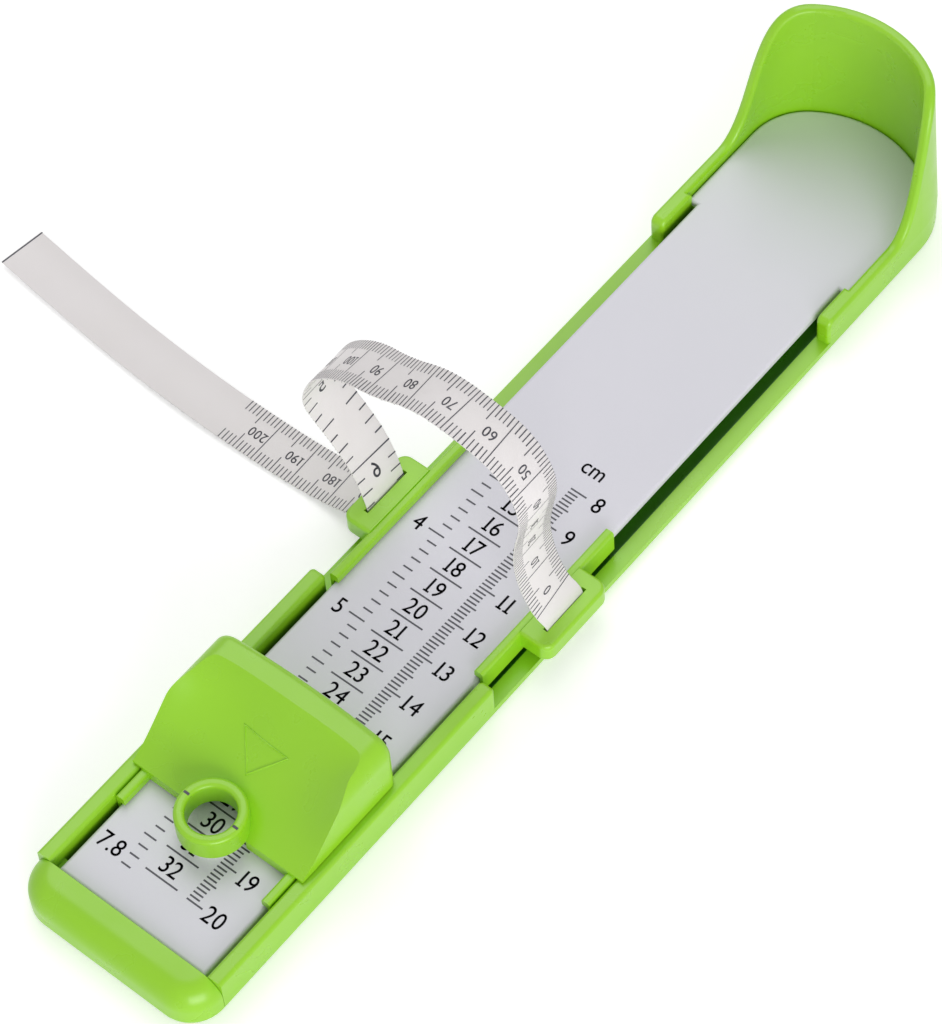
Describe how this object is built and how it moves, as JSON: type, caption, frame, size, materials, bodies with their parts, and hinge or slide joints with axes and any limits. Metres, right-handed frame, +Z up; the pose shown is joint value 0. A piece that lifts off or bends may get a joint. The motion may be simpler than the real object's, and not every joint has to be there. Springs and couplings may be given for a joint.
{
  "type": "foot measuring gauge",
  "caption": "Foot measuring gauge: a tray with a heel cup and printed plate, a toe slider with a reading ring, and a sliding carriage with a looped tape.",
  "frame": {"origin": "on the table, under the middle of the gauge without its tape", "axes": "+Z up, +Y along the gauge towards the heel cup, the tape's tail leaves towards -X"},
  "size_m": [0.1591, 0.2564, 0.0748],
  "materials": {
    "green_plastic": "glossy injection-moulded lime green ABS",
    "white_plate": "satin white plastic plate with printed scales",
    "tape_vinyl": "matt white coated tape with printed scales",
    "screw_steel": "zinc-plated steel"
  },
  "bodies": {
    "base": {"base_tray": "green_plastic", "toe_end_cap": "green_plastic", "foot_plate": "white_plate", "base_screws": "screw_steel"},
    "carriage": {"tape_carriage": "green_plastic", "tape_anchor_pin": "screw_steel", "measuring_tape": "tape_vinyl"},
    "slider": {"toe_slider": "green_plastic"}
  },
  "joints": [
    {"name": "carriage_slide", "type": "slide", "parent": "base", "child": "carriage", "axis": [0, 1, 0], "range_m": [0, 0.078]},
    {"name": "toe_slide", "type": "slide", "parent": "base", "child": "slider", "axis": [0, 1, 0], "range_m": [-0.015, 0.027]}
  ]
}
